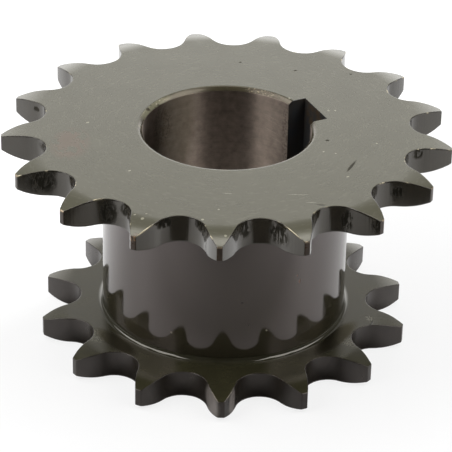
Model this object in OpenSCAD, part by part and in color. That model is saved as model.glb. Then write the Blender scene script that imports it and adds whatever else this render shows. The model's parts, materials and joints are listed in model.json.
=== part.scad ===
// Double chain sprocket, turned from one piece of steel: a ring of teeth at each end
// of a plain barrel, and a keyed bore right through.
// The axis is Z, the underside of the lower ring is at Z = 0, and the keyway faces +X.

/* [Chain] */
// Chain pitch, from the centre of one roller to the next
chain_pitch = 15.875; // [15.4:0.005:16.4]
// Diameter of the chain's rollers
roller_d = 10.16; // [9.6:0.01:10.6]

/* [Teeth] */
// Width of both rings of teeth, along the axis
tooth_w = 5.8; // [4.5:0.1:9]
// Height of the tooth tips over the circle that the roller centres lie on
tip_rise = 3.4; // [2.6:0.1:4]
// Roller seat radius, as a share of the roller's diameter
seat_share = 0.505; // [0.5:0.001:0.52]
// Angle of the roller seat's arc, seen from the roller's centre
seat_angle = 125; // [115:1:135]
// Flank radius, as a share of the roller's diameter times the number of teeth plus two
flank_share = 0.135; // [0.12:0.005:0.18]
// Radius of the crown on both faces of the teeth
crown_r = 15.9; // [14:0.1:25]

/* [Upper ring] */
// Number of teeth on the upper ring
upper_teeth = 17; // [15:1:22]
// How far the crown of the upper teeth reaches in from their tips
upper_crown = 6.45; // [3:0.05:8]
// Angle from the keyway to the nearest gap of the upper ring
upper_turn = -0.6; // [-10:0.1:10]

/* [Lower ring] */
// Number of teeth on the lower ring
lower_teeth = 14; // [13:1:20]
// How far the crown of the lower teeth reaches in from their tips
lower_crown = 5.6; // [3:0.05:8]
// Angle from the keyway to the nearest gap of the lower ring
lower_turn = -0.2; // [-12:0.1:12]

/* [Barrel] */
// Overall length along the axis, over both rings
overall_l = 47; // [30:0.5:80]
// Outside diameter of the barrel between the rings
barrel_d = 51.6; // [46:0.1:58]
// Radius of the fillet where the barrel meets each ring
fillet_r = 1; // [0.3:0.1:2.5]

/* [Bore] */
// Diameter of the bore
bore_d = 35; // [20:0.1:38]
// Leg of the 45 degree chamfer at both mouths of the bore
bore_chamfer = 0.8; // [0.2:0.1:1.5]
// Width of the keyway
key_w = 10; // [5:0.1:12]
// Depth of the keyway, from the bore's wall on the keyway's centreline
key_depth = 3.1; // [1.5:0.1:5]

/* [Hidden] */
$fn = 144;
// How far a cutting shape runs past the face that it cuts
past = 1;
half_seat = seat_angle / 2;
seat_r = seat_share * roller_d;
upper_floor = overall_l - tooth_w;

// Radius of the circle that the roller centres lie on
function pitch_r(teeth) = chain_pitch / 2 / sin(180 / teeth);

// Radius of the circle that the tooth tips lie on
function tip_r(teeth) = pitch_r(teeth) + tip_rise;

// One gap between two teeth, round the roller's centre, with the way out along +X:
// the round seat, and the mouth that the two convex flanks leave open.
module roller_gap(flank_r) {
    seat_end = seat_r * [-cos(half_seat), sin(half_seat)];
    flank_centre = (seat_r + flank_r) * [-cos(half_seat), sin(half_seat)];
    reach = tip_rise + past;
    circle(r = seat_r);
    difference() {
        polygon([
            seat_end,
            [reach, flank_centre[1]],
            [reach, -flank_centre[1]],
            [seat_end[0], -seat_end[1]],
        ]);
        for (side = [-1, 1])
            translate([flank_centre[0], side * flank_centre[1]])
                circle(r = flank_r);
    }
}

// Outline of a ring of teeth, with one gap at the angle turn
module ring_outline(teeth, turn) {
    difference() {
        circle(r = tip_r(teeth));
        for (i = [0 : teeth - 1])
            rotate(turn + i * 360 / teeth)
                translate([pitch_r(teeth), 0])
                    roller_gap(flank_share * roller_d * (teeth + 2));
    }
}

// Half section of the disc that crowns the teeth: flat faces, and on both of them
// an arc of crown_r that falls away over the last stretch, crown, out to the tips.
module crowned_section(teeth, crown) {
    crown_start = tip_r(teeth) - crown;
    square([crown_start, tooth_w]);
    intersection() {
        translate([crown_start, crown_r]) circle(r = crown_r);
        translate([crown_start, tooth_w - crown_r]) circle(r = crown_r);
        translate([crown_start - past, 0]) square([crown + past, tooth_w]);
    }
}

// A ring of teeth standing on Z = 0
module tooth_ring(teeth, crown, turn) {
    intersection() {
        linear_extrude(tooth_w) ring_outline(teeth, turn);
        rotate_extrude() crowned_section(teeth, crown);
    }
}

// Half section of the barrel, with a fillet at each ring
module barrel_section() {
    translate([0, tooth_w / 2]) square([barrel_d / 2, overall_l - tooth_w]);
    for (end = [0, 1])
        translate([barrel_d / 2, end ? upper_floor : tooth_w])
            mirror([0, end])
                difference() {
                    translate([-past, -past])
                        square([fillet_r + past, fillet_r + past]);
                    translate([fillet_r, fillet_r]) circle(r = fillet_r);
                }
}

// Half section of the bore, with a chamfer at both mouths
module bore_section() {
    mouth = bore_chamfer + past;
    translate([0, -past]) square([bore_d / 2, overall_l + 2 * past]);
    for (end = [0, 1])
        translate([bore_d / 2, end ? overall_l : 0])
            mirror([0, end])
                polygon([[-past, -past], [mouth, -past], [-past, mouth]]);
}

module keyway() {
    translate([0, -key_w / 2, -past])
        cube([bore_d / 2 + key_depth, key_w, overall_l + 2 * past]);
}

module double_sprocket() {
    color([0.32, 0.31, 0.27])
        difference() {
            union() {
                tooth_ring(lower_teeth, lower_crown, lower_turn);
                translate([0, 0, upper_floor])
                    tooth_ring(upper_teeth, upper_crown, upper_turn);
                rotate_extrude() barrel_section();
            }
            rotate_extrude() bore_section();
            keyway();
        }
}

double_sprocket();
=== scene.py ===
# Double chain sprocket in blackened, oiled steel, standing on its smaller ring of teeth.
# The dictionaries hold millimetres and degrees, the meshes hold metres.
import json
import math
import bpy
from mathutils import Matrix, Vector, noise


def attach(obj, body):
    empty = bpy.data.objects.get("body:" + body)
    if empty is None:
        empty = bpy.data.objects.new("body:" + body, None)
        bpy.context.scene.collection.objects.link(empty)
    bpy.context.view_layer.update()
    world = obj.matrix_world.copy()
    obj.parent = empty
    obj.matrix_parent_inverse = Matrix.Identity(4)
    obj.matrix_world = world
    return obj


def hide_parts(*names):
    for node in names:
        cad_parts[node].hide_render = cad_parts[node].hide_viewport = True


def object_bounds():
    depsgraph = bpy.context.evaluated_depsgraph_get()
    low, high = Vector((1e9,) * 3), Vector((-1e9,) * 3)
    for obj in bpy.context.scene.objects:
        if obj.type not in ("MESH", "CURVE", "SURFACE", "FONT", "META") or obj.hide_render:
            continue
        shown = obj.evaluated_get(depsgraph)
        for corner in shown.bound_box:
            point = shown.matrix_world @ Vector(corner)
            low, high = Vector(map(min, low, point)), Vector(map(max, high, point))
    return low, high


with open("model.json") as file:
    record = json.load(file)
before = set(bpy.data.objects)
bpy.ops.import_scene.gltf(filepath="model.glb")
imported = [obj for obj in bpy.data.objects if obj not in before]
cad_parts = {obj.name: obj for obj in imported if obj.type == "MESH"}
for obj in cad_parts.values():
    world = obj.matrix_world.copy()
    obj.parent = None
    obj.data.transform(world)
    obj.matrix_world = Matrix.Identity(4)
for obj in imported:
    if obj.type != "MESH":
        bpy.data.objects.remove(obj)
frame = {"record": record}
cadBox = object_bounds()
cadNode = "double_sprocket"
mm = 0.001
fullTurn = 2 * math.pi

# The camera, as a photographer would note it down
shot = {
    "aim": (0.231, -0.054, 23.224),  # almost on the axis
    "distance": 552.3,
    "azimuth": -26.0,  # the keyway points away and to the right
    "elevation": 30.25,
    "roll": 1.247,  # it wasn't quite level
    "lens": 208.4,
    "filmWidth": 36,
}


def placeCamera():
    camera = bpy.data.objects.new("camera", bpy.data.cameras.new("camera"))
    bpy.context.scene.collection.objects.link(camera)
    camera.data.lens = shot["lens"]
    camera.data.sensor_width = shot["filmWidth"]
    camera.data.clip_start = 0.01
    camera.data.clip_end = 20
    camera.matrix_world = (
        Matrix.Translation(Vector(shot["aim"]) * mm)
        @ Matrix.Rotation(math.radians(shot["azimuth"]), 4, "Z")
        @ Matrix.Rotation(math.radians(90 - shot["elevation"]), 4, "X")
        @ Matrix.Translation((0, 0, shot["distance"] * mm))
        @ Matrix.Rotation(math.radians(shot["roll"]), 4, "Z")
    )
    bpy.context.scene.camera = camera


placeCamera()
print("camera placed")

# The shape
toothForm = {
    "pitch": 15.875,  # of the chain
    "roller": 10.16,  # diameter
    "seatShare": 0.505,  # seat radius over roller diameter
    "seatAngle": 125,  # arc of the seat, seen from the roller's centre
    "flankShare": 0.135,  # flank radius over roller diameter times teeth plus two
    "tipRise": 3.4,  # of the tips over the pitch circle
    "width": 5.8,
    "crownRadius": 15.9,
    "cornerRun": 0.2,  # how far a tip's upright corners are rounded off
}
# Turn is where a gap lies from the keyway, crown how far the crown reaches in from the tips, columns how
# many columns of faces a tooth gets, and edge how far its arrises are rounded off.
upperRing = {"teeth": 17, "turn": -0.6, "crown": 6.45, "columns": 56, "edge": 0.12}
lowerRing = {"teeth": 14, "turn": -0.2, "crown": 5.6, "columns": 68, "edge": 0.1}
columns = upperRing["teeth"] * upperRing["columns"]  # the lower ring comes to as many
arris = {
    "strip": 0.22,  # the faces beside an arris keep this width, so that the shading bends there alone
    "slowWaves": 0.35,  # its rounding wanders in slow waves, so many to a millimetre
    "slowShare": 0.75,
    "fastWaves": 2.2,  # and in fast ones
    "fastShare": 0.45,
    "sharpAngle": 38,  # what bends more than this is shaded as an edge
}
# How much of each arris is open to being rubbed down to the metal
rubbing = {"upperTeeth": 1.0, "lowerTeeth": 0.5, "elsewhere": 0.25}
barrel = {"diameter": 51.6, "fillet": 1.0, "filletSteps": 7, "wallSteps": 4}
boreMount = next(mount for mount in frame["record"]["mounts"] if mount["name"] == "bore")
bore = {
    "radius": boreMount["dims"]["r_mm"],
    "chamfer": 0.8,
    "keyWidth": 10.0,
    "keyFloor": 20.6,  # from the axis
    "edge": 0.08,
    "floorColumns": 36,  # columns of faces on half of the keyway's floor
    "sideColumns": 6,
    "wallSteps": 4,
}
top = cadBox[1][2] / mm


def pitchRadius(ring):
    return toothForm["pitch"] / 2 / math.sin(math.pi / ring["teeth"])


def tipRadius(ring):
    return pitchRadius(ring) + toothForm["tipRise"]


def onArc(centre, radius, angle):
    return Vector((centre[0] + radius * math.cos(angle), centre[1] + radius * math.sin(angle)))


# Half a gap from its root to the middle of the tip land: seat, flank, rounded corner, land.
# Also says at which point the land starts.
def halfGap(ring):
    seat = toothForm["seatShare"] * toothForm["roller"]
    flank = toothForm["flankShare"] * toothForm["roller"] * (ring["teeth"] + 2)
    tip = tipRadius(ring)
    half = math.radians(toothForm["seatAngle"] / 2)
    seatCentre = (pitchRadius(ring), 0)
    flankCentre = onArc(seatCentre, seat + flank, math.pi - half)
    away = flankCentre.length
    meet = math.acos((away**2 + flank**2 - tip**2) / (2 * away * flank))
    flankEnd = math.atan2(-flankCentre.y, -flankCentre.x) + meet
    corner = onArc(flankCentre, flank, flankEnd)
    flankEnd -= toothForm["cornerRun"] / flank
    landStart = math.atan2(corner.y, corner.x) + toothForm["cornerRun"] / tip
    landEnd = math.pi / ring["teeth"]
    cornerSteps, landSteps, seatColumns = 4, 3, 0.36
    seatSteps = round(seatColumns * ring["columns"] / 2)
    flankSteps = ring["columns"] // 2 - seatSteps - cornerSteps - landSteps
    points = [onArc(seatCentre, seat, math.pi - half * i / seatSteps) for i in range(seatSteps)]
    for i in range(flankSteps):
        points.append(onArc(flankCentre, flank, -half + (flankEnd + half) * i / flankSteps))
    before, after = onArc(flankCentre, flank, flankEnd), onArc((0, 0), tip, landStart)
    for i in range(cornerSteps):
        t = i / cornerSteps
        points.append(before * (1 - t) ** 2 + corner * 2 * t * (1 - t) + after * t**2)
    for i in range(landSteps + 1):
        points.append(onArc((0, 0), tip, landStart + (landEnd - landStart) * i / landSteps))
    return points, seatSteps + flankSteps + cornerSteps // 2


# A ring's whole outline, anticlockwise from the gap at the keyway, and which columns are tip lands
def ringOutline(ring):
    side, landFrom = halfGap(ring)
    count = ring["columns"]
    outline, isLand = [], []
    for tooth in range(ring["teeth"]):
        for i in range(count):
            mirrored = i > count // 2
            p = side[count - i] if mirrored else side[i]
            turn = math.radians(ring["turn"]) + (tooth + mirrored) * fullTurn / ring["teeth"]
            outline.append(Matrix.Rotation(turn, 2) @ Vector((p.x, -p.y if mirrored else p.y)))
            isLand.append(landFrom <= i < count - landFrom)
    return outline, isLand


def outwardNormals(outline):
    normals = []
    for i in range(columns):
        along = outline[(i + 1) % columns] - outline[i - 1]
        normals.append(Vector((along.y, -along.x)).normalized())
    return normals


# How far a crowned face has fallen away at a radius
def crownDrop(ring, radius):
    past = max(0.0, radius - (tipRadius(ring) - ring["crown"]))
    return toothForm["crownRadius"] - math.sqrt(toothForm["crownRadius"] ** 2 - past**2)


def circleLoop(radius, z):
    return [(*onArc((0, 0), radius, fullTurn * i / columns), z) for i in range(columns)]


# The bore's outline with its keyway, from the middle of the keyway's floor. Grow widens it all round.
def boreLoop(radius, grow, z):
    halfKey, floor = bore["keyWidth"] / 2 + grow, bore["keyFloor"] + grow
    radius += grow
    floorSteps, sideSteps = bore["floorColumns"], bore["sideColumns"]
    mouth = math.asin(halfKey / radius)
    mouthX = radius * math.cos(mouth)
    wallSteps = columns // 2 - floorSteps - sideSteps
    half = [(floor, halfKey * i / floorSteps) for i in range(floorSteps)]
    half += [(floor + (mouthX - floor) * i / sideSteps, halfKey) for i in range(sideSteps)]
    for i in range(wallSteps + 1):
        half.append(onArc((0, 0), radius, mouth + (math.pi - mouth) * i / wallSteps))
    return [(x, y, z) for x, y in half] + [(x, -y, z) for x, y in half[-2:0:-1]]


# How far a ring's arrises are rounded off all along its outline
def wornEdge(ring, outline, bottom):
    worn = []
    for p in outline:
        place = Vector((p.x, p.y, bottom))
        slow = arris["slowShare"] * noise.noise(place * arris["slowWaves"])
        fast = arris["fastShare"] * noise.noise(place * arris["fastWaves"])
        worn.append(ring["edge"] * (1 + slow + fast))
    return worn


# Loops down the outside of a ring: round the upper edge, down the flanks and round the lower edge
def rimLoops(ring, outline, bottom):
    normals = outwardNormals(outline)
    worn = wornEdge(ring, outline, bottom)
    edgeSteps, wallSteps = 3, 3

    def edgeLoop(step, upper):
        angle = math.pi / 2 * step / edgeSteps
        loop = []
        for p, n, e in zip(outline, normals, worn):
            q = p - n * e * (1 - math.sin(angle))
            drop = crownDrop(ring, q.length) + e * (1 - math.cos(angle))
            loop.append((q.x, q.y, bottom + (toothForm["width"] - drop if upper else drop)))
        return loop

    def wallLoop(share):
        low, high = [], []
        for p, e in zip(outline, worn):
            drop = crownDrop(ring, p.length) + e + arris["strip"]
            low.append(Vector((p.x, p.y, bottom + drop)))
            high.append(Vector((p.x, p.y, bottom + toothForm["width"] - drop)))
        return [tuple(upperPoint.lerp(lowerPoint, share)) for upperPoint, lowerPoint in zip(high, low)]

    upper = [edgeLoop(step, True) for step in range(edgeSteps + 1)]
    walls = [wallLoop(i / wallSteps) for i in range(wallSteps + 1)]
    lower = [edgeLoop(step, False) for step in range(edgeSteps, -1, -1)]
    return upper, walls, lower


# Loops across a ring's face, from a loop near the axis out to the rim: flat up to the crown, then down it.
# In the gaps the rim may come before the crown, and the flat then ends a little inside the rim.
def faceLoops(ring, inner, rim, faceZ, side, crownSteps):
    crownStart, insideRim = tipRadius(ring) - ring["crown"], 0.5
    flatShares = (0.015, 0.3, 0.6, 0.88)
    loops = []
    for share in flatShares:
        loop = []
        for a, b in zip(inner, rim):
            a, b = Vector(a[:2]), Vector(b[:2])
            foot = b * (min(crownStart, b.length - insideRim) / b.length)
            q = a.lerp(foot, share)
            loop.append((q.x, q.y, faceZ))
        loops.append(loop)
    for step in range(crownSteps):
        loop = []
        for b in rim:
            b = Vector(b[:2])
            start, end = min(crownStart, b.length - insideRim), b.length - arris["strip"]
            q = b * ((start + (end - start) * step / (crownSteps - 1)) / b.length)
            loop.append((q.x, q.y, faceZ - side * crownDrop(ring, q.length)))
        loops.append(loop)
    return loops


# The barrel from the upper ring down to the lower one, with a fillet at both ends
def barrelLoops(upperZ, lowerZ):
    radius, fillet, steps = barrel["diameter"] / 2, barrel["fillet"], barrel["filletSteps"]
    upperFillet, wall, lowerFillet = [], [], []
    for i in range(steps + 1):
        angle = math.pi / 2 * i / steps
        r, drop = radius + fillet * (1 - math.sin(angle)), fillet * (1 - math.cos(angle))
        upperFillet.append(circleLoop(r, upperZ - drop))
        lowerFillet.append(circleLoop(r, lowerZ + drop))
    for i in range(1, barrel["wallSteps"]):
        share = i / barrel["wallSteps"]
        wall.append(circleLoop(radius, (upperZ - fillet) * (1 - share) + (lowerZ + fillet) * share))
    return upperFillet, wall, lowerFillet[::-1]


# The sprocket is one closed skin: loops of equal count run from the upper face out over the teeth, down
# the barrel, over the lower teeth, under the lower face and up the bore to where they started. The two
# faces that are seen best get more loops on their crowns.
def sprocketSkin():
    upperOutline, upperLand = ringOutline(upperRing)
    lowerOutline, _ = ringOutline(lowerRing)
    width, edge, chamfer = toothForm["width"], bore["edge"], bore["chamfer"]
    upperBottom = top - width
    fineCrown, plainCrown = 9, 6
    wear = rubbing["elsewhere"]
    upperTopRim, upperWall, upperLowRim = rimLoops(upperRing, upperOutline, upperBottom)
    lowerTopRim, lowerWall, lowerLowRim = rimLoops(lowerRing, lowerOutline, 0)
    upperFillet, wall, lowerFillet = barrelLoops(upperBottom, width)
    mouthRadius = bore["radius"] + chamfer
    upperMouth = boreLoop(mouthRadius, edge, top)
    lowerMouth = boreLoop(mouthRadius, edge, 0)
    skin = []  # a loop, the finish of the faces from it to the next, and how open it is to rubbing

    def add(loops, finish, onEdge=0.0):
        skin.extend((loop, finish, onEdge) for loop in loops)

    add([upperMouth], "upperFace", wear)
    add(faceLoops(upperRing, upperMouth, upperTopRim[0], top, 1, fineCrown), "upperFace")
    add(upperTopRim, "upperFlank", rubbing["upperTeeth"])
    add(upperWall, "upperFlank")
    add(upperLowRim[:-1], "upperFlank")
    add(upperLowRim[-1:], "lowerFace")
    underUpper = faceLoops(upperRing, upperFillet[0], upperLowRim[-1], upperBottom, -1, plainCrown)
    add(reversed(underUpper), "lowerFace")
    add(upperFillet[:-1], "fillet")
    add(upperFillet[-1:] + wall, "barrel")
    add(lowerFillet[:-1], "fillet")
    add(lowerFillet[-1:], "lowerFace")
    add(faceLoops(lowerRing, lowerFillet[-1], lowerTopRim[0], width, 1, fineCrown), "lowerFace")
    add(lowerTopRim, "lowerFlank", rubbing["lowerTeeth"])
    add(lowerWall, "lowerFlank")
    add(lowerLowRim[:-1], "lowerFlank", wear)
    add(lowerLowRim[-1:], "lowerFace", wear)
    underLower = faceLoops(lowerRing, lowerMouth, lowerLowRim[-1], 0, -1, plainCrown)
    add(reversed(underLower), "lowerFace")
    add([lowerMouth, boreLoop(mouthRadius - edge, 0, edge)], "chamfer", wear)
    add([boreLoop(bore["radius"] + edge, 0, chamfer - edge)], "bore", wear)
    low, high = chamfer + edge, top - chamfer - edge
    for i in range(bore["wallSteps"] + 1):
        add([boreLoop(bore["radius"], 0, low + (high - low) * i / bore["wallSteps"])], "bore")
    add([boreLoop(bore["radius"] + edge, 0, top - chamfer + edge)], "chamfer", wear)
    add([boreLoop(mouthRadius - edge, 0, top - edge)], "chamfer", wear)
    return skin, upperLand


def buildSprocket(materials):
    skin, isLand = sprocketSkin()
    finishes = list(materials)
    keyColumns = bore["floorColumns"] + bore["sideColumns"]
    vertices = [(x * mm, y * mm, z * mm) for loop, _, _ in skin for x, y, z in loop]
    faces, slots = [], []
    for row, (_, finish, _) in enumerate(skin):
        nextRow = (row + 1) % len(skin)
        for i in range(columns):
            j = (i + 1) % columns
            here, below = row * columns, nextRow * columns
            faces.append((here + i, below + i, below + j, here + j))
            inKeyway = i < keyColumns or i >= columns - keyColumns
            if finish in ("chamfer", "bore") and inKeyway:
                name = "keyway"
            elif finish == "upperFlank" and isLand[i]:
                name = "tipLand"
            else:
                name = finish
            slots.append(finishes.index(name))
    mesh = bpy.data.meshes.new("sprocket")
    mesh.from_pydata(vertices, [], faces)
    for name in finishes:
        mesh.materials.append(materials[name])
    mesh.polygons.foreach_set("material_index", slots)
    mesh.polygons.foreach_set("use_smooth", [True] * len(faces))
    mesh.set_sharp_from_angle(angle=math.radians(arris["sharpAngle"]))
    edgeWear = mesh.attributes.new("edgeWear", "FLOAT", "POINT")
    edgeWear.data.foreach_set("value", [onEdge for _, _, onEdge in skin for _ in range(columns)])
    mesh.update()
    piece = bpy.data.objects.new("sprocket", mesh)
    bpy.context.scene.collection.objects.link(piece)
    shading = piece.modifiers.new("shading", "WEIGHTED_NORMAL")
    shading.keep_sharp = True
    shading.weight = 100
    print("sprocket mesh:", len(vertices), "vertices,", 2 * len(faces), "triangles")
    return piece


# The materials
def linear(hexColour):
    channels = [int(hexColour[i : i + 2], 16) / 255 for i in (1, 3, 5)]
    return (*[c / 12.92 if c <= 0.04045 else ((c + 0.055) / 1.055) ** 2.4 for c in channels], 1)


# Adds a node: settings are its properties, links its inputs, each a value or another node's output
def addNode(tree, kind, links=None, **settings):
    node = tree.nodes.new(kind)
    for name, value in settings.items():
        setattr(node, name, value)
    for socket, source in (links or {}).items():
        if isinstance(source, bpy.types.NodeSocket):
            tree.links.new(source, node.inputs[socket])
        else:
            node.inputs[socket].default_value = source
    return node


# Gives a curve node its points
def shapeCurve(node, points):
    curve = node.mapping.curves[0]
    for x, y in points[1:-1]:
        curve.points.new(x, y)
    for point, (x, y) in zip(curve.points, points):
        point.location = (x, y)
    node.mapping.update()


def newMaterial(name):
    material = bpy.data.materials.new(name)
    material.use_nodes = True
    tree = material.node_tree
    tree.nodes.clear()
    shader = addNode(tree, "ShaderNodeBsdfPrincipled")
    addNode(tree, "ShaderNodeOutputMaterial", {"Surface": shader.outputs["BSDF"]})
    return material, tree, shader


# What all the finishes share
steel = {
    "lineShrink": 0.02,  # place along the tool's lines is shrunk to this share
    "fineShare": 0.25,  # of the grain and of the lines in the mix of the two tones
    "shakeWaves": 2.2,  # a mark's outline wanders in so many waves to a millimetre
    "shake": 0.35,  # and over so many millimetres
    "markCore": 0.6,  # a mark is whole up to this share of its half size, and fades out beyond
    "tear": 0.03,  # how softly the blotches of a broken mark end
    "rubWaves": 0.45,  # arrises are rubbed down in so many waves to a millimetre
    "rubFade": 0.08,  # and how softly that ends
    "bareRoughness": 0.3,  # of the metal laid bare there
}


# Where a point of the part lies, in millimetres
def partPlace(tree):
    metres = addNode(tree, "ShaderNodeTexCoord").outputs["Object"]
    place = addNode(tree, "ShaderNodeVectorMath", {0: metres, 1: (1 / mm,) * 3}, operation="MULTIPLY")
    return place.outputs[0]


# The tool's lines: rings run round the axis on a face, hoops round it on a wall, uprights along it.
# Place is shrunk along them, so that a noise comes out drawn along the lines. A real tool leaves them 0.1
# to 0.2 mm apart, which is too fine to show in a render, so each look's lineStep draws them coarser.
def alongLines(tree, place, lines, shrink):
    factors = {
        "rings": (shrink, shrink, 0), "hoops": (shrink, shrink, 1), "uprights": (1, 1, shrink),
    }[lines]
    shrunk = addNode(tree, "ShaderNodeVectorMath", {0: place, 1: factors}, operation="MULTIPLY")
    if lines != "rings":
        return shrunk.outputs[0]
    flat = addNode(tree, "ShaderNodeVectorMath", {0: place, 1: (1, 1, 0)}, operation="MULTIPLY")
    radius = addNode(tree, "ShaderNodeVectorMath", {0: flat.outputs[0]}, operation="LENGTH")
    outward = addNode(tree, "ShaderNodeCombineXYZ", {"Z": radius.outputs["Value"]})
    drawn = addNode(tree, "ShaderNodeVectorMath", {
        0: shrunk.outputs[0], 1: outward.outputs[0],
    }, operation="ADD")
    return drawn.outputs[0]


# How far a point is covered by marks. Each mark has its middle, its size, its turn about the axis and, on a
# wall, the angle by which it slopes down.
def coverOf(tree, place, spots):
    cover = 0.0
    for middle, size, turn, *slope in spots:
        near = addNode(tree, "ShaderNodeMapping", {
            "Vector": place,
            "Location": middle,
            "Rotation": (0, math.radians(sum(slope)), math.radians(turn)),
            "Scale": [side / 2 for side in size],
        }, vector_type="TEXTURE")
        away = addNode(tree, "ShaderNodeVectorMath", {0: near.outputs[0]}, operation="LENGTH")
        inside = addNode(tree, "ShaderNodeMapRange", {
            "Value": away.outputs["Value"], "From Min": 1.0, "From Max": steel["markCore"],
        })
        both = addNode(tree, "ShaderNodeMath", {0: inside.outputs[0], 1: cover}, operation="MAXIMUM")
        cover = both.outputs[0]
    return cover


# Two tones that wander, a fine grain and the lines of the tool.
# A mix node's sockets are 0 for the share, 2 and 3 for numbers, 6 and 7 for colours, with outputs 0 and 2.
def plainSurface(tree, place, look):
    patches = addNode(tree, "ShaderNodeTexNoise", {
        "Vector": place, "Scale": 1 / look["patch"], "Detail": 4.0,
    })
    grain = addNode(tree, "ShaderNodeTexNoise", {
        "Vector": place, "Scale": 1 / look["grain"], "Detail": 2.0,
    })
    lines = addNode(tree, "ShaderNodeTexNoise", {
        "Vector": alongLines(tree, place, look["lines"], steel["lineShrink"]),
        "Scale": 1 / look["lineStep"],
        "Detail": 2.0,
    })
    fine = addNode(tree, "ShaderNodeMath", {0: grain.outputs[0], 1: lines.outputs[0]}, operation="ADD")
    blend = addNode(tree, "ShaderNodeMath", {
        0: fine.outputs[0], 1: steel["fineShare"], 2: patches.outputs[0],
    }, operation="MULTIPLY_ADD")
    share = addNode(tree, "ShaderNodeMapRange", {
        "Value": blend.outputs[0], "From Min": 0.5, "From Max": 1.0,
    })
    low, high = look["tones"]
    smooth, rough = look["roughness"]
    tone = addNode(tree, "ShaderNodeMix", {
        0: share.outputs[0], 6: linear(low), 7: linear(high),
    }, data_type="RGBA")
    polish = addNode(tree, "ShaderNodeMix", {0: share.outputs[0], 2: rough, 3: smooth})
    ridges = addNode(tree, "ShaderNodeMath", {
        0: lines.outputs[0], 1: look["lineDepth"], 2: 0.0,
    }, operation="MULTIPLY_ADD")
    relief = addNode(tree, "ShaderNodeMath", {
        0: grain.outputs[0], 1: look["grainDepth"], 2: ridges.outputs[0],
    }, operation="MULTIPLY_ADD")
    return {
        "colour": tone.outputs[2], "roughness": polish.outputs[0], "height": relief.outputs[0], "dry": 0.0,
    }


# Lays marks of one kind over a surface. Shaken is the place with a little wander in it, so that no mark has
# a ruled outline.
def layMarks(tree, place, shaken, lines, marks, surface):
    cover = coverOf(tree, shaken, marks["spots"])
    if "broken" in marks:
        # Blotches of this size in millimetres break the marks up, and only what is over a level stays
        drawn = alongLines(tree, place, lines, marks.get("drawn", 1))
        blotches = addNode(tree, "ShaderNodeTexNoise", {
            "Vector": drawn, "Scale": 1 / marks["broken"], "Detail": 5.0, "Roughness": 0.6,
        })
        level = marks.get("level", 0.5)
        torn = addNode(tree, "ShaderNodeMapRange", {
            "Value": blotches.outputs[0],
            "From Min": level - steel["tear"],
            "From Max": level + steel["tear"],
        })
        left = addNode(tree, "ShaderNodeMath", {0: cover, 1: torn.outputs[0]}, operation="MULTIPLY")
        cover = left.outputs[0]
    thinned = addNode(tree, "ShaderNodeMath", {0: cover, 1: marks["share"]}, operation="MULTIPLY")
    cover = thinned.outputs[0]
    tone = addNode(tree, "ShaderNodeMix", {
        0: cover, 6: surface["colour"], 7: linear(marks["colour"]),
    }, data_type="RGBA")
    polish = addNode(tree, "ShaderNodeMix", {0: cover, 2: surface["roughness"], 3: marks["roughness"]})
    relief = addNode(tree, "ShaderNodeMath", {
        0: cover, 1: -marks["depth"], 2: surface["height"],
    }, operation="MULTIPLY_ADD")
    surface.update(colour=tone.outputs[2], roughness=polish.outputs[0], height=relief.outputs[0])
    if "dry" in marks:
        # Dry scale doesn't shine: a dark metal mirrors only its own colour. The painted shade at the
        # barrel's foot is dulled the same way.
        surface["dry"] = cover


# Rubs the arrises down to the metal here and there, and all of an arris where the look says bareAt
def rubArrises(tree, place, look, surface):
    onEdge = addNode(tree, "ShaderNodeAttribute", attribute_name="edgeWear").outputs["Fac"]
    rub = addNode(tree, "ShaderNodeTexNoise", {"Vector": place, "Scale": steel["rubWaves"], "Detail": 5.0})
    rubbed = addNode(tree, "ShaderNodeMapRange", {
        "Value": rub.outputs[0],
        "From Min": 1 - look["worn"],
        "From Max": 1 + steel["rubFade"] - look["worn"],
    })
    always = coverOf(tree, place, look.get("bareAt", ()))
    either = addNode(tree, "ShaderNodeMath", {0: rubbed.outputs[0], 1: always}, operation="MAXIMUM")
    worn = addNode(tree, "ShaderNodeMath", {0: either.outputs[0], 1: onEdge}, operation="MULTIPLY")
    tone = addNode(tree, "ShaderNodeMix", {
        0: worn.outputs[0], 6: surface["colour"], 7: linear(look["bare"]),
    }, data_type="RGBA")
    polish = addNode(tree, "ShaderNodeMix", {
        0: worn.outputs[0], 2: surface["roughness"], 3: steel["bareRoughness"],
    })
    metal = addNode(tree, "ShaderNodeMath", {0: worn.outputs[0], 1: surface["dry"]}, operation="MAXIMUM")
    surface.update(colour=tone.outputs[2], roughness=polish.outputs[0], metallic=metal.outputs[0])


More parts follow.
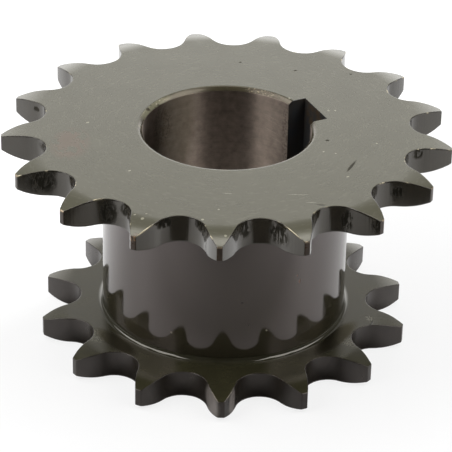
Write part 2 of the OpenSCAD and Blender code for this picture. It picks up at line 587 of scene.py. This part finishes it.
# Cut steel, mostly blackened and oiled. All its finishes are built alike: the plain surface, marks at their
# places, and arrises rubbed down to the metal.
def steelFinish(look):
    material, tree, shader = newMaterial(look["name"])
    place = partPlace(tree)
    surface = plainSurface(tree, place, look)
    shake = addNode(tree, "ShaderNodeTexNoise", {
        "Vector": place, "Scale": steel["shakeWaves"], "Detail": 3.0,
    })
    moved = addNode(tree, "ShaderNodeVectorMath", {
        0: shake.outputs["Color"], 1: (steel["shake"],) * 3, 2: place,
    }, operation="MULTIPLY_ADD")
    shaken = addNode(tree, "ShaderNodeVectorMath", {
        0: moved.outputs[0], 1: (steel["shake"] / 2,) * 3,
    }, operation="SUBTRACT")
    for marks in look.get("marks", ()):
        layMarks(tree, place, shaken.outputs[0], look["lines"], marks, surface)
    if "bare" in look:
        rubArrises(tree, place, look, surface)
    if "anisotropy" in look:
        # Bare steel all over, whose hoops spread the light along the axis
        around = addNode(tree, "ShaderNodeTangent", direction_type="RADIAL", axis="Z")
        tree.links.new(around.outputs[0], shader.inputs["Tangent"])
        shader.inputs["Metallic"].default_value = 1
        shader.inputs["Anisotropic"].default_value = look["anisotropy"]
        shader.inputs["Anisotropic Rotation"].default_value = 0.25
    elif "metallic" in surface:
        tree.links.new(surface["metallic"], shader.inputs["Metallic"])
    bump = addNode(tree, "ShaderNodeBump", {"Height": surface["height"], "Distance": mm, "Strength": 1.0})
    tree.links.new(surface["colour"], shader.inputs["Base Color"])
    tree.links.new(surface["roughness"], shader.inputs["Roughness"])
    tree.links.new(bump.outputs[0], shader.inputs["Normal"])
    shader.inputs["IOR"].default_value = look["ior"]
    shader.inputs["Specular Tint"].default_value = linear(look.get("tint", "#ffffff"))
    return material


# In a look, patch, grain, lineStep and broken are sizes in millimetres, and lineDepth, grainDepth and depth
# are depths in them. Worn is how readily the arrises are rubbed. The grain of real oxide is some hundredths
# of a millimetre, which is too fine to show, so it is drawn ten times as coarse.

# The ends, faced in a lathe: an olive black satin that takes the light evenly, with faint rings
facedOxide = {
    "name": "faced_black_oxide", "tones": ("#3f3d2d", "#454333"), "patch": 7, "grain": 0.28,
    "grainDepth": 0.004, "lines": "rings", "lineStep": 0.4, "lineDepth": 0.002,
    "roughness": (0.21, 0.26), "ior": 1.68, "tint": "#fffbf0", "bare": "#a89f88", "worn": 0.42,
    "marks": [
        {   # faint scuffs all over, along the rings
            "colour": "#8c897b", "roughness": 0.34, "depth": 0.006, "share": 0.07, "broken": 0.7,
            "drawn": 0.35, "level": 0.6, "spots": [((0, 0, 47), (160, 160, 6), 0)],
        },
        {   # and pits along with them
            "colour": "#2c2a1e", "roughness": 0.4, "depth": 0.006, "share": 0.2, "broken": 0.6,
            "drawn": 0.35, "level": 0.64, "spots": [((0, 0, 47), (160, 160, 6), 0)],
        },
        {   # hair scratches
            "colour": "#a5a18e", "roughness": 0.4, "depth": 0.02, "share": 0.4,
            "spots": [
                ((0.7, -31.2, 47), (5.0, 0.14, 1), -24), ((1.7, -35.1, 47), (2.8, 0.16, 1), -24),
                ((-11.9, -25.3, 47), (2.2, 0.2, 1), -30),
            ],
        },
        {   # pale dots, where grit has cut through the oil
            "colour": "#a9a58f", "roughness": 0.4, "depth": 0.01, "share": 0.48,
            "spots": [
                ((13.1, -28.7, 47), (0.9, 0.5, 1), 30), ((22.6, -1.9, 47), (0.8, 0.5, 1), 90),
                ((23.9, -2.5, 47), (0.6, 0.4, 1), 60), ((25.0, -18.7, 47), (0.5, 0.5, 1), 0),
                ((13.4, -17.5, 47), (0.5, 0.4, 1), 0), ((15.3, -19.2, 47), (0.4, 0.4, 1), 0),
                ((-25.7, 13.1, 47), (1.0, 0.5, 1), 20), ((-25.9, -9.1, 47), (0.8, 0.4, 1), 0),
                ((-16.2, -30.3, 47), (0.5, 0.5, 1), 0), ((-20.7, -32.6, 47), (0.6, 0.6, 1), 0),
                ((-31.2, -27.5, 47), (1.1, 0.8, 1), 40), ((-32.0, -25.6, 47), (0.6, 0.5, 1), 0),
                ((-29.8, -26.2, 47), (0.5, 0.4, 1), 0), ((17.5, 6.3, 47), (0.9, 0.6, 1), 70),
                ((-19.0, -39.4, 46.6), (0.7, 0.7, 1), 0),
            ],
        },
        {   # a nick, and pits filled with dry dirt
            "colour": "#15140f", "roughness": 0.5, "depth": 0.01, "share": 0.85, "dry": True,
            "spots": [
                ((15.8, -25.2, 47), (6.0, 0.7, 1), 41), ((16.3, -13.6, 47), (1.0, 0.9, 1), 0),
                ((24.5, 17.3, 47), (1.1, 0.6, 1), 0), ((34.6, 11.0, 47), (0.8, 0.7, 1), 0),
                ((15.3, 25.5, 47), (0.8, 0.6, 1), 0), ((3.0, -36.8, 47), (2.4, 0.4, 1), -30),
            ],
        },
        {   # a tinge of old rust
            "colour": "#563f30", "roughness": 0.33, "depth": 0.0, "share": 0.5, "broken": 2.5,
            "level": 0.46,
            "spots": [((-32.5, 6.0, 47), (15, 9, 2), 60), ((-34.4, -31.0, 45.9), (1.6, 1.2, 2), 0)],
        },
    ],
}
# The same faces where they lie in shade under the upper ring: darker tones, a painted shade over the same
# faced oxide
shadedOxide = {
    "name": "shaded_black_oxide", "tones": ("#2a281b", "#363424"), "patch": 6, "grain": 0.3,
    "grainDepth": 0.004, "lines": "rings", "lineStep": 0.4, "lineDepth": 0.002,
    "roughness": (0.18, 0.26), "ior": 1.5, "tint": "#fff6e2", "bare": "#7d7565", "worn": 0.42,
    "marks": [
        {   # frosty scuffs at the roots of the teeth
            "colour": "#6d6a5c", "roughness": 0.45, "depth": 0.004, "share": 0.55, "broken": 0.5,
            "spots": [
                ((-30.8, -3.5, 5.8), (5, 6, 2), 0), ((16.1, -26.6, 5.8), (3.5, 7, 2), 30),
                ((24.6, -20.6, 5.8), (2, 3, 2), 0),
            ],
        },
        {   # a dent at a tooth's root
            "colour": "#0d0c09", "roughness": 0.5, "depth": 0.04, "share": 0.9,
            "spots": [((23.8, -22.6, 5.8), (3.6, 0.6, 1), 48)],
        },
        {   # painted shade at the barrel's foot: dark, and dull so that it mirrors nothing there
            "colour": "#232117", "roughness": 0.35, "depth": 0.0, "share": 0.8, "dry": True,
            "spots": [((-28.2, -7.4, 5.8), (4.6, 15, 2), 15), ((14.4, -24.4, 5.8), (5.0, 18, 2), -59)],
        },
    ],
}
# The flanks, cut by a hob that leaves fine lines along the axis: near black and glossy, so that they mirror
# the floor, with blotches where the scale lies thick and dry
hobbedOxide = {
    "name": "hobbed_black_oxide", "tones": ("#201d16", "#2c2820"), "patch": 5, "grain": 0.3,
    "grainDepth": 0.002, "lines": "uprights", "lineStep": 0.5, "lineDepth": 0.03,
    "roughness": (0.08, 0.14), "ior": 1.7, "tint": "#fffaf3", "bare": "#a89f88", "worn": 0.42,
    "bareAt": [((-32.4, -30.7, 46.2), (6, 2.5, 2.4), 12), ((-6.1, -43.4, 46.4), (7, 1.6, 1.6), 111)],
    "marks": [
        {   # the thick, dry blotches, drawn out along the lines
            "colour": "#1c1a10", "roughness": 0.5, "depth": 0.01, "share": 0.8, "broken": 0.5,
            "drawn": 0.3, "level": 0.47, "dry": True,
            "spots": [
                ((-27.3, -29.2, 45.8), (5, 3, 2.6), 0), ((-21.2, -33.0, 45.9), (2.5, 4, 2.8), 0),
                ((-13.3, -36.9, 45.0), (3.0, 4.0, 5), 0), ((-7.8, -40.0, 44.2), (4, 7, 5.5), 0),
                ((-34.2, -18.0, 44.0), (4, 5, 6), 0), ((-32.0, -20.8, 45.4), (2.5, 3, 3), 0),
                ((7.2, -39.6, 44.0), (3, 4, 6), 0), ((11.6, -44.6, 44.8), (3, 3, 4.5), 0),
                ((21.4, -34.6, 44.6), (5, 3, 3), 30), ((31.6, -24.4, 46.0), (3, 3, 3), 0),
                ((-42.4, -2.4, 44.6), (9, 4, 5.6), 0), ((38.6, 13.0, 44.0), (4, 3, 4), 0),
                ((-22.6, 34.0, 43.0), (5, 3, 4), 0), ((-38.6, 8.6, 45.8), (5, 4, 2.6), 0),
                ((-32.0, 25.7, 45.4), (2.2, 2.2, 1.4), 0),
            ],
        },
    ],
}
# The lower ring's flanks, which the finer hob left duller
dullOxide = {
    "name": "dull_hobbed_black_oxide", "tones": ("#1f1b16", "#2b2620"), "patch": 4, "grain": 0.3,
    "grainDepth": 0.004, "lines": "uprights", "lineStep": 0.6, "lineDepth": 0.01,
    "roughness": (0.26, 0.36), "ior": 1.62, "tint": "#fff6f3", "bare": "#a39a8a", "worn": 0.3,
    "bareAt": [((-17.6, -33.4, 5.5), (3, 4, 3), 0), ((-14.6, -33.8, 5.5), (4, 3, 3), 0)],
    "marks": [
        {   # a painted reflection of the white floor, pale on the front tooth's sides
            "colour": "#a59c96", "roughness": 0.36, "depth": 0.0, "share": 0.45, "broken": 2.0,
            "level": 0.3,
            "spots": [((-17.6, -31.4, 2.8), (3.2, 8, 8), 0), ((-13.5, -33.5, 2.8), (3.4, 5, 8), 0)],
        },
    ],
}
# The barrel, turned fine: the glossiest of all, near black with a mirror of the floor in it. Its tones are
# darker than the faces', partly its own glossier coat and partly a painted shade for the upper ring's
# overhang.
turnedOxide = {
    "name": "turned_black_oxide", "tones": ("#28251b", "#2f2c20"), "patch": 8, "grain": 0.3,
    "grainDepth": 0.001, "lines": "hoops", "lineStep": 0.35, "lineDepth": 0.0012, "roughness": (0.08, 0.12),
    "ior": 1.84, "tint": "#fff0f1",
    "marks": [
        {   # specks of rust
            "colour": "#6b4a34", "roughness": 0.5, "depth": 0.03, "share": 0.8,
            "spots": [((4.9, -25.3, 22.6), (0.6, 0.9, 1.2), 0), ((4.3, -25.4, 24.2), (0.4, 0.9, 0.6), 0)],
        },
        {   # pits
            "colour": "#0a0908", "roughness": 0.4, "depth": 0.03, "share": 0.9,
            "spots": [((-7.7, -24.6, 20.2), (0.5, 0.9, 0.7), 0), ((-6.3, -25.0, 14.6), (0.4, 0.9, 0.4), 0)],
        },
        {   # and pale specks of dust in the oil
            "colour": "#8f8878", "roughness": 0.4, "depth": 0.0, "share": 0.6,
            "spots": [
                ((-19.8, -16.6, 11.4), (0.5, 0.9, 0.5), 0), ((-2.5, -25.7, 12.8), (0.4, 0.9, 0.5), 0),
            ],
        },
    ],
}
# The fillets, burnished by the nose of the tool, which shine the most
burnishedOxide = {
    "name": "burnished_black_oxide", "tones": ("#2c2a1e", "#373528"), "patch": 4, "grain": 0.3,
    "grainDepth": 0.001, "lines": "hoops", "lineStep": 0.25, "lineDepth": 0.001,
    "roughness": (0.06, 0.09), "ior": 1.6, "tint": "#fffaf0",
}
# The tip lands, left by the first turning and rubbed brown by handling
rubbedOxide = {
    "name": "rubbed_black_oxide", "tones": ("#2a2118", "#3d3025"), "patch": 2, "grain": 0.3,
    "grainDepth": 0.004, "lines": "hoops", "lineStep": 0.4, "lineDepth": 0.004,
    "roughness": (0.25, 0.38), "ior": 1.5, "bare": "#b5a48c", "worn": 0.52,
    "marks": [
        {   # rust at the tip of one tooth
            "colour": "#94714f", "roughness": 0.5, "depth": 0.0, "share": 0.6, "broken": 0.6,
            "level": 0.48, "spots": [((-34.6, -31.2, 45.6), (4, 4, 2.6), 0)],
        },
    ],
}
# The chamfers, cut last in the lathe: thin oxide, spotted with brown towards the keyway
chamferOxide = {
    "name": "chamfered_black_oxide", "tones": ("#322d21", "#3d3829"), "patch": 3, "grain": 0.25,
    "grainDepth": 0.004, "lines": "hoops", "lineStep": 0.3, "lineDepth": 0.003, "roughness": (0.18, 0.26),
    "ior": 1.58, "tint": "#fff2dc", "bare": "#a39b87", "worn": 0.4,
    "marks": [
        {   # a stretch where the oil has been wiped off
            "colour": "#8b8870", "roughness": 0.3, "depth": 0.0, "share": 0.6, "broken": 1.2,
            "level": 0.42, "spots": [((-10.3, 14.7, 46.6), (15, 5, 2), 35)],
        },
        {   # the brown spots
            "colour": "#2b2119", "roughness": 0.4, "depth": 0.01, "share": 0.8, "broken": 0.5,
            "spots": [((14.6, 10.4, 46.6), (8, 9, 2), 45), ((-14.2, 10.4, 46.4), (1.6, 1.6, 2), 0)],
        },
        {   # and paler between the spots
            "colour": "#b3a489", "roughness": 0.35, "depth": 0.0, "share": 0.6, "broken": 0.35,
            "level": 0.57, "spots": [((13.4, 11.8, 46.6), (10, 7, 2), 45)],
        },
        {   # two bright specks
            "colour": "#c9c2ae", "roughness": 0.3, "depth": 0.0, "share": 0.8,
            "spots": [((-8.0, 16.4, 46.6), (0.7, 0.5, 1), 20), ((-9.0, 15.6, 46.4), (0.5, 0.4, 1), 0)],
        },
    ],
}
# The keyway, broached dry: matt and almost black, browner on its floor
broachedOxide = {
    "name": "broached_black_oxide", "tones": ("#2a3036", "#38322a"), "patch": 5, "grain": 0.3,
    "grainDepth": 0.004, "lines": "uprights", "lineStep": 0.4, "lineDepth": 0.006,
    "roughness": (0.35, 0.5), "ior": 1.5,
    "marks": [
        {   # the brown of the floor
            "colour": "#4a3b28", "roughness": 0.45, "depth": 0.0, "share": 0.7, "broken": 2.0,
            "spots": [((21.2, 0.0, 44), (3, 12, 14), 0)],
        },
    ],
}
# The bore, machined after the blackening: bare steel tarnished brown. Its fine hoops draw the light out
# into upright bands.
boredSteel = {
    "name": "bored_steel", "tones": ("#7a6e65", "#968a7f"), "patch": 1.4, "grain": 0.3, "grainDepth": 0.0,
    "lines": "hoops", "lineStep": 0.2, "lineDepth": 0.0015, "roughness": (0.4, 0.45), "ior": 1.5,
    "anisotropy": 1.0,
    "marks": [
        {   # painted shade, where the bore turns away from the keyway and mirrors little light
            "colour": "#453f2e", "roughness": 0.45, "depth": 0.0, "share": 0.55,
            "spots": [((-6.0, 16.4, 33), (15, 14, 56), 20, 12)],
        },
        {   # specks of tarnish past it, and a brown shade beside the keyway
            "colour": "#3c3128", "roughness": 0.45, "depth": 0.0, "share": 0.5, "broken": 0.5,
            "level": 0.52, "spots": [((-7.6, 15.6, 41), (8, 6, 12), 0), ((16.8, 5.2, 38), (3, 4, 20), 0)],
        },
        {   # fine scratches that slope down towards the keyway
            "colour": "#cfc5b8", "roughness": 0.35, "depth": 0.004, "share": 0.25,
            "spots": [
                ((15.6, 8.1, 40.4), (7, 1.4, 0.12), -60, 11), ((15.3, 8.6, 38.2), (7, 1.4, 0.12), -58, 13),
                ((15.7, 7.9, 36.6), (6, 1.4, 0.12), -61, 12), ((15.0, 9.1, 41.6), (5, 1.4, 0.1), -56, 12),
            ],
        },
    ],
}

materials = {
    "upperFace": steelFinish(facedOxide), "lowerFace": steelFinish(shadedOxide),
    "upperFlank": steelFinish(hobbedOxide), "lowerFlank": steelFinish(dullOxide),
    "tipLand": steelFinish(rubbedOxide), "barrel": steelFinish(turnedOxide),
    "fillet": steelFinish(burnishedOxide), "chamfer": steelFinish(chamferOxide),
    "bore": steelFinish(boredSteel), "keyway": steelFinish(broachedOxide),
}
print("finishes made")
piece = buildSprocket(materials)
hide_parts(cadNode)
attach(piece, "root")

# The studio. Azimuths are seen from the part: 0 is straight away from the camera, 90 to its right, and
# 180 towards it.
studio = {
    "paperFront": 94,  # the white paper ends this far in front of the axis, and the dark room starts
    "floorSize": 6000,
    "paper": "#eeeeee",
    "paperGlow": 0.8,  # how much of the floor is plain white to the camera
    # and to what mirrors it, which falls from behind the part to before it
    "mirroredGlow": {"behind": 0.8, "before": 0.05, "from": -20, "to": 50},
    # the paper glows brighter behind on the left, above white: a painted pool of light
    "paintedBackGlow": {"azimuth": -39, "from": 20, "to": 60, "level": 1.4},
    # a painted shade over the paper in front, which only reflections see
    "veil": {"from": 22, "full": 48, "middle": 9, "halfWidth": 115, "depth": 0.66},
    # and all round the part's foot
    "footShade": {"inner": 32, "outer": 39, "depth": 0.95},
    "softboxes": {  # the tall ones at the sides stand upright, the one overhead looks down by its tilt
        "left": {
            "azimuth": -98, "out": 800, "up": 1250, "tilt": 0, "size": (1230, 1440), "radiance": 4.5,
        },
        "right": {
            "azimuth": 104, "out": 800, "up": 1250, "tilt": 0, "size": (980, 1440), "radiance": 4.2,
        },
        "overhead": {
            "azimuth": 0, "out": 371, "up": 1141, "tilt": 72, "size": (1100, 340), "radiance": 3.6,
        },
    },
    "sweep": 2.15,  # the wall behind, at its brightest
    "room": 0.07,  # what the dark room still gives
}


def towards(azimuth, elevation):
    turn = math.radians(azimuth - shot["azimuth"])
    flat = math.cos(math.radians(elevation))
    return Vector((math.sin(turn) * flat, math.cos(turn) * flat, math.sin(math.radians(elevation))))


def addSoftbox(name, box):
    lamp = bpy.data.lights.new(name, "AREA")
    lamp.shape = "RECTANGLE"
    lamp.size, lamp.size_y = (side * mm for side in box["size"])
    lamp.energy = box["radiance"] * math.pi * lamp.size * lamp.size_y
    softbox = bpy.data.objects.new(name, lamp)
    softbox.location = (towards(box["azimuth"], 0) * box["out"] + Vector((0, 0, box["up"]))) * mm
    softbox.rotation_euler = (-towards(box["azimuth"], box["tilt"])).to_track_quat("-Z", "Y").to_euler()
    softbox.visible_camera = False
    bpy.context.scene.collection.objects.link(softbox)


def addStageSheet(name, corners, material):
    mesh = bpy.data.meshes.new(name)
    mesh.from_pydata([Vector(c) * mm for c in corners], [], [(0, 1, 2, 3)])
    mesh.materials.append(material)
    sheet = bpy.data.objects.new(name, mesh)
    bpy.context.scene.collection.objects.link(sheet)
    return sheet


# White seamless paper: it takes the part's shadow, and is lifted to white where the camera sees it. Behind
# on the left it glows brighter, a painted pool of light.
def paperMaterial():
    material = bpy.data.materials.new("seamless_paper")
    material.use_nodes = True
    tree = material.node_tree
    tree.nodes.clear()
    paper = addNode(tree, "ShaderNodeBsdfDiffuse", {"Color": linear(studio["paper"])})
    paintedBackGlow = studio["paintedBackGlow"]
    leftBehind = addNode(tree, "ShaderNodeVectorMath", {
        0: partPlace(tree), 1: towards(paintedBackGlow["azimuth"], 0),
    }, operation="DOT_PRODUCT")
    level = addNode(tree, "ShaderNodeMapRange", {
        "Value": leftBehind.outputs["Value"], "From Min": paintedBackGlow["from"], "From Max": paintedBackGlow["to"],
        "To Min": 1.0, "To Max": paintedBackGlow["level"],
    }, interpolation_type="SMOOTHSTEP")
    glow = addNode(tree, "ShaderNodeEmission", {"Color": linear("#ffffff"), "Strength": level.outputs[0]})
    path = addNode(tree, "ShaderNodeLightPath")
    isMirrored = addNode(tree, "ShaderNodeMath", {
        0: path.outputs["Is Glossy Ray"], 1: path.outputs["Is Transmission Ray"],
    }, operation="MAXIMUM")
    forward = addNode(tree, "ShaderNodeVectorMath", {
        0: partPlace(tree), 1: towards(180, 0),
    }, operation="DOT_PRODUCT")
    glowShare = studio["mirroredGlow"]
    bright = addNode(tree, "ShaderNodeMapRange", {
        "Value": forward.outputs["Value"], "From Min": glowShare["from"], "From Max": glowShare["to"],
        "To Min": glowShare["behind"], "To Max": glowShare["before"],
    }, interpolation_type="SMOOTHSTEP")
    mirrored = addNode(tree, "ShaderNodeMath", {
        0: isMirrored.outputs[0], 1: bright.outputs[0],
    }, operation="MULTIPLY")
    share = addNode(tree, "ShaderNodeMath", {
        0: path.outputs["Is Camera Ray"], 1: studio["paperGlow"], 2: mirrored.outputs[0],
    }, operation="MULTIPLY_ADD")
    mix = addNode(tree, "ShaderNodeMixShader", {
        0: share.outputs[0], 1: paper.outputs[0], 2: glow.outputs[0],
    })
    addNode(tree, "ShaderNodeOutputMaterial", {"Surface": mix.outputs[0]})
    return material


# How much of the veil hangs over a place: most in its middle, none at its ends and its edge by the part
def veilShade(tree, place, forward):
    veil = studio["veil"]
    aside = addNode(tree, "ShaderNodeVectorMath", {0: place, 1: towards(90, 0)}, operation="DOT_PRODUCT")
    offMiddle = addNode(tree, "ShaderNodeMath", {
        0: aside.outputs["Value"], 1: veil["middle"],
    }, operation="SUBTRACT")
    apart = addNode(tree, "ShaderNodeMath", {0: offMiddle.outputs[0]}, operation="ABSOLUTE")
    across = addNode(tree, "ShaderNodeMapRange", {
        "Value": apart.outputs[0], "From Min": 0.0, "From Max": veil["halfWidth"],
        "To Min": veil["depth"], "To Max": 0.0,
    }, interpolation_type="SMOOTHSTEP")
    fadeIn = addNode(tree, "ShaderNodeMapRange", {
        "Value": forward, "From Min": veil["from"], "From Max": veil["full"],
    }, interpolation_type="SMOOTHSTEP")
    shade = addNode(tree, "ShaderNodeMath", {
        0: across.outputs[0], 1: fadeIn.outputs[0],
    }, operation="MULTIPLY")
    return shade.outputs[0]


# The shade round the part's foot, but not under its bore
def footShade(tree, place):
    foot = studio["footShade"]
    away = addNode(tree, "ShaderNodeVectorMath", {0: place}, operation="LENGTH").outputs["Value"]
    near = addNode(tree, "ShaderNodeMapRange", {
        "Value": away, "From Min": foot["inner"], "From Max": foot["outer"],
        "To Min": foot["depth"], "To Max": 0.0,
    }, interpolation_type="SMOOTHSTEP")
    outside = addNode(tree, "ShaderNodeMath", {0: away, 1: bore["radius"]}, operation="GREATER_THAN")
    shade = addNode(tree, "ShaderNodeMath", {
        0: near.outputs[0], 1: outside.outputs[0],
    }, operation="MULTIPLY")
    return shade.outputs[0]


# A dark sheet over the paper that only reflections see: dark beyond the paper's front, with a thin veil of
# painted shade before it, most in the middle, and a painted shade round the part's foot
def darkClothAndShade():
    material, tree, shader = newMaterial("dark_cloth_and_painted_shade")
    shader.inputs["Base Color"].default_value = linear("#101010")
    shader.inputs["Roughness"].default_value = 0.9
    place = partPlace(tree)
    forward = addNode(tree, "ShaderNodeVectorMath", {
        0: place, 1: towards(180, 0),
    }, operation="DOT_PRODUCT").outputs["Value"]
    beyondPaper = addNode(tree, "ShaderNodeMath", {
        0: forward, 1: studio["paperFront"],
    }, operation="GREATER_THAN")
    withVeil = addNode(tree, "ShaderNodeMath", {
        0: beyondPaper.outputs[0], 1: veilShade(tree, place, forward),
    }, operation="MAXIMUM")
    solid = addNode(tree, "ShaderNodeMath", {
        0: withVeil.outputs[0], 1: footShade(tree, place),
    }, operation="MAXIMUM")
    clear = addNode(tree, "ShaderNodeBsdfTransparent")
    mix = addNode(tree, "ShaderNodeMixShader", {
        0: solid.outputs[0], 1: clear.outputs[0], 2: shader.outputs[0],
    })
    tree.links.new(mix.outputs[0], tree.nodes["Material Output"].inputs["Surface"])
    return material


def buildWorld():
    world = bpy.data.worlds.new("studio")
    bpy.context.scene.world = world
    world.use_nodes = True
    tree = world.node_tree
    tree.nodes.clear()
    path = addNode(tree, "ShaderNodeLightPath")
    direction = addNode(tree, "ShaderNodeTexCoord").outputs["Generated"]
    height = addNode(tree, "ShaderNodeSeparateXYZ", {0: direction}).outputs["Z"]
    flat = addNode(tree, "ShaderNodeVectorMath", {0: direction, 1: (1, 1, 0)}, operation="MULTIPLY")
    level = addNode(tree, "ShaderNodeVectorMath", {0: flat.outputs[0]}, operation="NORMALIZE")
    behind = addNode(tree, "ShaderNodeVectorMath", {
        0: level.outputs[0], 1: towards(0, 0),
    }, operation="DOT_PRODUCT")
    # The wall behind is brightest low down and fades out a third of the way up
    sweep = addNode(tree, "ShaderNodeFloatCurve", {"Value": height})
    shapeCurve(sweep, [
        (0, 1), (0.2, 1), (0.3, 0.93), (0.42, 0.82), (0.5, 0.58), (0.56, 0.24), (0.7, 0.17), (1, 0.2),
    ])
    # and to both sides of it the room is dark
    spread = addNode(tree, "ShaderNodeFloatCurve", {"Value": behind.outputs["Value"]})
    shapeCurve(spread, [(0, 0.02), (0.5, 0.06), (0.77, 0.1), (0.82, 0.3), (0.86, 1), (1, 1)])
    wall = addNode(tree, "ShaderNodeMath", {
        0: sweep.outputs[0], 1: spread.outputs[0],
    }, operation="MULTIPLY")
    strength = addNode(tree, "ShaderNodeMath", {
        0: wall.outputs[0], 1: studio["sweep"], 2: studio["room"],
    }, operation="MULTIPLY_ADD")
    backdrop = addNode(tree, "ShaderNodeBackground", {"Color": linear("#ffffff"), "Strength": 1.0})
    room = addNode(tree, "ShaderNodeBackground", {
        "Color": linear("#ffffff"), "Strength": strength.outputs[0],
    })
    mix = addNode(tree, "ShaderNodeMixShader", {
        0: path.outputs["Is Camera Ray"], 1: room.outputs[0], 2: backdrop.outputs[0],
    })
    addNode(tree, "ShaderNodeOutputWorld", {"Surface": mix.outputs[0]})


def buildStudio():
    half, reach, lift = studio["floorSize"] / 2, 900, Vector((0, 0, 0.3))
    floorCorners = [(-half, -half, 0), (half, -half, 0), (half, half, 0), (-half, half, 0)]
    addStageSheet("floor", floorCorners, paperMaterial())
    side = towards(90, 0) * reach
    near = towards(0, 0) * studio["footShade"]["outer"] + lift
    far = towards(180, 0) * reach + lift
    room = addStageSheet("dark_room_and_painted_shade", [near - side, far - side, far + side, near + side], darkClothAndShade())
    # Only reflections see this sheet, so its veil and foot ring are painted shade
    room.visible_camera = False
    room.visible_shadow = False
    room.visible_diffuse = False
    for name, box in studio["softboxes"].items():
        addSoftbox(name + "_softbox", box)
    buildWorld()
    bpy.context.scene.view_settings.view_transform = "Standard"


buildStudio()
print("studio lit")
